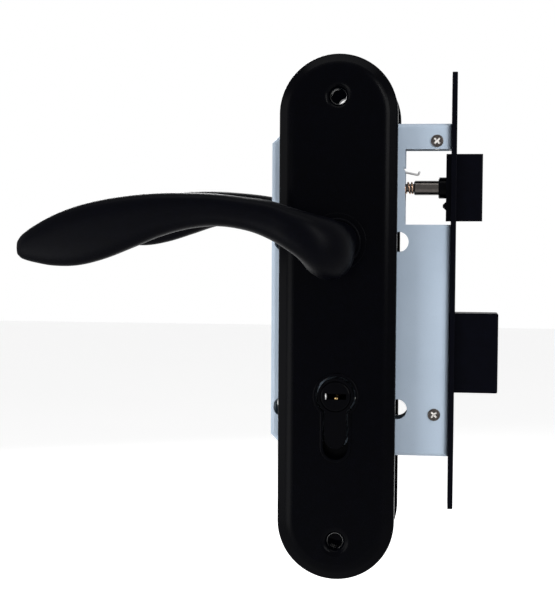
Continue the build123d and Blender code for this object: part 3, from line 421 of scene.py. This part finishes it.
def tube(name, points, radius, material, sides=12):
    """A round wire with eased ends as a mesh along a smooth line of points in millimetres."""
    points = [Vector(p) for p in points]
    last = len(points) - 1
    ways = [(points[min(i + 1, last)] - points[max(i - 1, 0)]).normalized() for i in range(last + 1)]
    side = ways[0].orthogonal().normalized()
    mesh = bmesh.new()
    rings = []
    for i, (point, way) in enumerate(zip(points, ways)):
        if i:
            side = ways[i - 1].rotation_difference(way) @ side
        side = (side - way * side.dot(way)).normalized()
        up = way.cross(side)
        reach = radius * (WIRE_END_SHARE if i in (0, last) else 1.0)
        rings.append([
            mesh.verts.new((point + (side * math.cos(a) + up * math.sin(a)) * reach) * MM)
            for a in circle_angles(sides)
        ])
    skin_over(mesh, rings)
    mesh.faces.new(list(reversed(rings[0])))
    mesh.faces.new(rings[-1])
    return from_bmesh(name, mesh, material)


def joined(name, pieces):
    """Several meshes as one object."""
    mesh = bmesh.new()
    for piece in pieces:
        mesh.from_mesh(piece.data)
    material = pieces[0].data.materials[0]
    for piece in pieces:
        data = piece.data
        bpy.data.objects.remove(piece)
        bpy.data.meshes.remove(data)
    return from_bmesh(name, mesh, material)


# Levers

def lever_stations():
    """Place, heading and section of the front lever at each given section, from the neck out."""
    elbow_y = ARM_Y + ELBOW_RADIUS
    neck_middle = (NECK_INNER_END + NECK_OUTER_END) / 2
    stations = [((0.0, y), 0.0, ROUND_NECK) for y in (NECK_INNER_END, neck_middle, NECK_OUTER_END)]
    stations.append(((0.0, (NECK_OUTER_END + elbow_y) / 2), 0.0, NECK_SECTION))
    for turn, radius, shape in ELBOW_SECTIONS:
        a = math.radians(turn)
        place = (radius * math.cos(a) - ELBOW_RADIUS, elbow_y - radius * math.sin(a))
        stations.append((place, a, shape))
    for reach, shape in ARM_SECTIONS:
        stations.append(((-reach, ARM_Y), math.pi / 2, shape))
    return [list(place) + [turn] + list(shape) for place, turn, shape in stations]


def smooth_between(rows, steps):
    """Rows of numbers filled in by a smooth curve through them, even along its length."""
    where = [0.0]
    for first, second in zip(rows, rows[1:]):
        where.append(where[-1] + max(math.dist(first[:2], second[:2]), LEAST_STEP))
    slopes = []
    for i in range(len(rows)):
        low, high = max(i - 1, 0), min(i + 1, len(rows) - 1)
        span = where[high] - where[low]
        slopes.append([(b - a) / span for a, b in zip(rows[low], rows[high])])
    filled, i = [], 0
    for step in range(steps + 1):
        at = where[-1] * step / steps
        while i < len(rows) - 2 and at > where[i + 1]:
            i += 1
        span = where[i + 1] - where[i]
        t = (at - where[i]) / span
        h = (2 * t**3 - 3 * t**2 + 1, t**3 - 2 * t**2 + t, 3 * t**2 - 2 * t**3, t**3 - t**2)
        filled.append([
            h[0] * a + h[1] * span * da + h[2] * b + h[3] * span * db
            for a, da, b, db in zip(rows[i], slopes[i], rows[i + 1], slopes[i + 1])
        ])
    return filled


def lever_ring(mesh, station, turn_up, mirrored):
    """The points round a lever at one place along it."""
    x, y, turn, z, half_height, half_depth, square = station
    out = Vector((math.cos(turn), -math.sin(turn), 0))
    ring = []
    for a in circle_angles(LEVER_SIDES):
        up, side = math.cos(a), math.sin(a)
        reach = (abs(up) ** square + abs(side) ** square) ** (-1 / square)
        point = Vector((x, y, z)) + out * side * reach * half_depth
        point += Vector((0, 0, up * reach * half_height))
        point = turn_up @ point
        point.y *= -1 if mirrored else 1
        ring.append(mesh.verts.new((point + Vector((SPINDLE_X, 0, SPINDLE_Z))) * MM))
    return ring


def lever(name, lift, mirrored):
    """A lever as one smooth skin: crowned faces that turn into tight rims, and a rounded tip."""
    mesh = bmesh.new()
    turn_up = Matrix.Rotation(math.radians(lift), 4, "Y")
    stations = smooth_between(lever_stations(), LEVER_STEPS)
    rings = [lever_ring(mesh, station, turn_up, mirrored) for station in stations]
    skin_over(mesh, rings)
    mesh.faces.new(rings[0])
    tip = sum((vertex.co for vertex in rings[-1]), Vector()) / LEVER_SIDES
    point = mesh.verts.new(tip + turn_up @ Vector((-TIP_POINT * MM, 0, 0)))
    for k in range(LEVER_SIDES):
        mesh.faces.new((rings[-1][k], rings[-1][(k + 1) % LEVER_SIDES], point))
    return from_bmesh(name, mesh, LEVER_COAT)


def place_levers():
    """Both levers' skins, in place of the levers' plainer solids."""
    for name, node, lift, mirrored in (
        ("front_lever_skin", "front_lever", 0.0, False),
        ("back_lever_skin", "back_lever", BACK_LEVER_LIFT, True),
    ):
        skin = lever(name, lift, mirrored)
        drill(skin, mirrored, lift)
        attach(skin, "handle")
        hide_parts(node)


def drill(skin, mirrored, lift):
    """Cut the grub screw's hole into the underside of a lever's neck."""
    mesh = bmesh.new()
    radius = GRUB_RADIUS * MM
    bmesh.ops.create_cone(
        mesh, cap_ends=True, segments=GRUB_SIDES, radius1=radius, radius2=radius, depth=GRUB_CUT_DEPTH * MM
    )
    side = -1 if mirrored else 1
    turn_up = Matrix.Rotation(math.radians(lift), 4, "Y")
    place = Vector((SPINDLE_X, side * GRUB_Y, SPINDLE_Z)) + turn_up @ Vector((0, 0, -GRUB_CUT_BELOW))
    bmesh.ops.transform(mesh, matrix=Matrix.Translation(place * MM) @ turn_up, verts=mesh.verts)
    cutter = from_bmesh("grub_cutter", mesh, LEVER_COAT)
    cut = skin.modifiers.new("hole", "BOOLEAN")
    cut.operation = "DIFFERENCE"
    cut.object = cutter
    shape = bpy.data.meshes.new_from_object(skin.evaluated_get(bpy.context.evaluated_depsgraph_get()))
    skin.modifiers.clear()
    skin.data = shape
    bpy.data.objects.remove(cutter)


# Keyway inserts

def place_plug_inserts():
    """The hardened steel inserts set upright in the plugs' faces, at the end of each keyway."""
    for name, body, side in (("front_insert", "front_core", -1), ("rear_insert", "rear_core", 1)):
        mesh = bmesh.new()
        bmesh.ops.create_cube(mesh, size=MM)
        bmesh.ops.scale(mesh, vec=INSERT_SIZE, verts=mesh.verts)
        bmesh.ops.bevel(mesh, geom=mesh.edges, offset=INSERT_EDGE * MM, segments=2, affect="EDGES")
        centre = Vector((SPINDLE_X - INSERT_OFFSET, side * INSERT_Y, CYLINDER_Z))
        bmesh.ops.translate(mesh, vec=centre * MM, verts=mesh.verts)
        insert = from_bmesh(name, mesh, INSERT_STEEL)
        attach(insert, body)


# Wire springs

def latch_coil_rise(turn):
    """How far along the latch's rod its coil is after some turns: closed for one at each end."""
    length = LATCH_COIL_END - LATCH_COIL_START - 2 * LATCH_WIRE
    open_rise = (length - 2 * LATCH_COIL_CLOSED) / (LATCH_COIL_TURNS - 2)
    if turn < 1:
        return turn * LATCH_COIL_CLOSED
    if turn > LATCH_COIL_TURNS - 1:
        return length - (LATCH_COIL_TURNS - turn) * LATCH_COIL_CLOSED
    return LATCH_COIL_CLOSED + (turn - 1) * open_rise


def latch_coil():
    """The compression spring on the latch rod, with closed end turns."""
    points = []
    for step in range(LATCH_COIL_TURNS * LATCH_COIL_STEPS + 1):
        turn = step / LATCH_COIL_STEPS
        angle = 2 * math.pi * turn
        before = latch_coil_rise(max(turn - LATCH_COIL_EASE, 0))
        after = latch_coil_rise(min(turn + LATCH_COIL_EASE, LATCH_COIL_TURNS))
        along = (before + 2 * latch_coil_rise(turn) + after) / 4
        points.append((
            LATCH_COIL_START + LATCH_WIRE + along,
            LATCH_COIL_RADIUS * math.cos(angle),
            LATCH_Z + LATCH_COIL_RADIUS * math.sin(angle),
        ))
    return tube("latch_spring_coil", points, LATCH_WIRE, COPPER_WIRE)


def bent(corners, radius, steps=6):
    """A line through corners with each corner rounded to an arc."""
    corners = [Vector(c) for c in corners]
    points = [corners[0]]
    for before, corner, after in zip(corners, corners[1:], corners[2:]):
        into, out = (before - corner).normalized(), (after - corner).normalized()
        most = CORNER_SHARE * min((before - corner).length, (after - corner).length)
        reach = min(radius / math.tan(into.angle(out) / 2), most)
        start, end = corner + into * reach, corner + out * reach
        for k in range(steps + 1):
            t = k / steps
            points.append(start * (1 - t) ** 2 + corner * 2 * t * (1 - t) + end * t ** 2)
    points.append(corners[-1])
    return points


def torsion_coil():
    """The handle's return spring: a hooked leg through the window, the coil and a leg on the lug."""
    coil = []
    for step in range(TORSION_QUARTERS * TORSION_STEPS + 1):
        quarter = step / TORSION_STEPS
        angle = math.radians(-90 - 90 * quarter)
        coil.append(Vector((
            TORSION_X + TORSION_RADIUS * math.cos(angle),
            TORSION_RISE * quarter - TORSION_DEPTH,
            TORSION_Z + TORSION_RADIUS * math.sin(angle),
        )))
    bend = Vector((TORSION_HOOK_X, -TORSION_DEPTH, TORSION_Z - TORSION_RADIUS - TORSION_HOOK_DROP))
    lead = bent([bend + TORSION_HOOK, bend, coil[0] + TORSION_LEAD, coil[0]], TORSION_HOOK_ROUND)
    end = coil[-1]
    foot = Vector((SPINDLE_X + TORSION_FOOT_X, end.y, SPINDLE_Z + TORSION_FOOT_Z))
    tail = bent([end, end + TORSION_TAIL, foot], TORSION_TAIL_ROUND)
    points = lead[:-1] + coil + tail[1:-1]
    start = tail[-2]
    points += [start.lerp(foot, t / TORSION_LEG_STEPS) for t in range(1, TORSION_LEG_STEPS + 1)]
    return tube("follower_spring_coil", points, TORSION_WIRE, PALE_WIRE)


def pin_coil(name, y):
    """The small spring under one driver pin."""
    points = []
    for step in range(PIN_COIL_TURNS * PIN_COIL_STEPS + 1):
        turn = step / PIN_COIL_STEPS
        angle = 2 * math.pi * turn
        points.append((
            SPINDLE_X + PIN_COIL_RADIUS * math.cos(angle),
            y + PIN_COIL_RADIUS * math.sin(angle),
            PIN_COIL_TOP - PIN_WIRE - (PIN_COIL_LENGTH - 2 * PIN_WIRE) * turn / PIN_COIL_TURNS,
        ))
    return tube(name, points, PIN_WIRE, PALE_WIRE, sides=6)


def pin_coils():
    """The small springs under all the driver pins, as real coils in one piece."""
    pieces = []
    for side in (-1, 1):
        for number in range(PIN_COUNT):
            y = side * (CYLINDER_HALF - PIN_FIRST - PIN_SPACING * number)
            pieces.append(pin_coil(f"pin_coil_{number}_{side}", y))
    return joined("pin_spring_coils", pieces)


def place_springs():
    """The wound springs, in place of the plain solids."""
    latch_spring = latch_coil()
    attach(latch_spring, "lock")
    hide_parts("latch_spring")
    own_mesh(latch_spring)

    torsion = torsion_coil()
    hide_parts("follower_spring")
    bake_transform(torsion)

    pins = pin_coils()
    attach(pins, "lock")
    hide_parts("pin_springs")


# Light, floor and camera

def softbox(name, place, target, size, power):
    """A rectangular lamp in millimetres that the camera doesn't see."""
    light = bpy.data.lights.new(name, "AREA")
    light.shape = "RECTANGLE"
    light.size, light.size_y = size[0] * MM, size[1] * MM
    light.energy = power
    lamp = bpy.data.objects.new(name, light)
    bpy.context.scene.collection.objects.link(lamp)
    lamp.location = Vector(place) * MM
    way = Vector(target) * MM - lamp.location
    lamp.rotation_euler = way.to_track_quat("-Z", "Y").to_euler()
    lamp.visible_camera = False


def seen_rays(nodes, links):
    """1 for camera, glossy and transmission rays, 0 for those that light a surface."""
    path = nodes.new("ShaderNodeLightPath")
    value = path.outputs["Is Camera Ray"]
    for kind in ("Is Glossy Ray", "Is Transmission Ray"):
        either = nodes.new("ShaderNodeMath")
        either.operation = "MAXIMUM"
        links.new(value, either.inputs[0])
        links.new(path.outputs[kind], either.inputs[1])
        value = either.outputs["Value"]
    return value


def make_world():
    """White for what the camera sees, also in metal and glass, and dim light for the rest."""
    world = bpy.data.worlds.new("studio")
    bpy.context.scene.world = world
    world.use_nodes = True
    nodes, links = world.node_tree.nodes, world.node_tree.links
    background = nodes["Background"]
    background.inputs["Color"].default_value = WHITE
    strength = nodes.new("ShaderNodeMapRange")
    strength.inputs["To Min"].default_value = SKY_LIGHT
    strength.inputs["To Max"].default_value = SKY_SEEN
    links.new(seen_rays(nodes, links), strength.inputs["Value"])
    links.new(strength.outputs["Result"], background.inputs["Strength"])


def make_floor():
    """A pale floor well below the lockset, which shows white and keeps its shadow."""
    mesh = bmesh.new()
    corners = [(x * FLOOR_HALF, y * FLOOR_HALF) for x, y in ((-1, -1), (1, -1), (1, 1), (-1, 1))]
    mesh.faces.new([mesh.verts.new((x, y, FLOOR_HEIGHT)) for x, y in corners])
    g = Graph("pale_floor")
    g.colour(g.ramp(g.noise(3, detail=2), 0.3, 0.7, grey(FLOOR_DEEP), grey(FLOOR_PALE)))
    g.set(roughness=0.9, emission_color=WHITE)
    glow = g.spread(seen_rays(g.nodes, g.links), 0.0, FLOOR_GLOW)
    g.links.new(glow, g.shader.inputs["Emission Strength"])
    floor = from_bmesh("floor", mesh, g.material, smooth=False)


def make_camera():
    """The camera, turned about the vertical, down and about its own line of sight."""
    data = bpy.data.cameras.new("camera")
    data.sensor_fit = "HORIZONTAL"
    data.sensor_width = SENSOR_WIDTH
    data.lens = FOCAL_PIXELS / PICTURE_WIDTH * SENSOR_WIDTH
    data.clip_start = CAMERA_NEAR
    camera = bpy.data.objects.new("camera", data)
    bpy.context.scene.collection.objects.link(camera)
    yaw, pitch, roll = (math.radians(a) for a in (CAMERA_YAW, CAMERA_PITCH, CAMERA_ROLL))
    forward = Vector((
        -math.sin(yaw) * math.cos(pitch),
        math.cos(yaw) * math.cos(pitch),
        -math.sin(pitch),
    ))
    level = Vector((math.cos(yaw), math.sin(yaw), 0))
    up = level.cross(forward)
    right = math.cos(roll) * level - math.sin(roll) * up
    top = math.sin(roll) * level + math.cos(roll) * up
    turn = Matrix((right, top, -forward)).transposed().to_4x4()
    camera.matrix_world = Matrix.Translation(Vector(CAMERA_PLACE) * MM) @ turn
    bpy.context.scene.camera = camera


make_camera()
finish_nodes()
place_levers()
place_plug_inserts()
place_springs()
for lamp in LAMPS:
    softbox(*lamp)
make_world()
make_floor()
bpy.context.scene.view_settings.view_transform = "Standard"
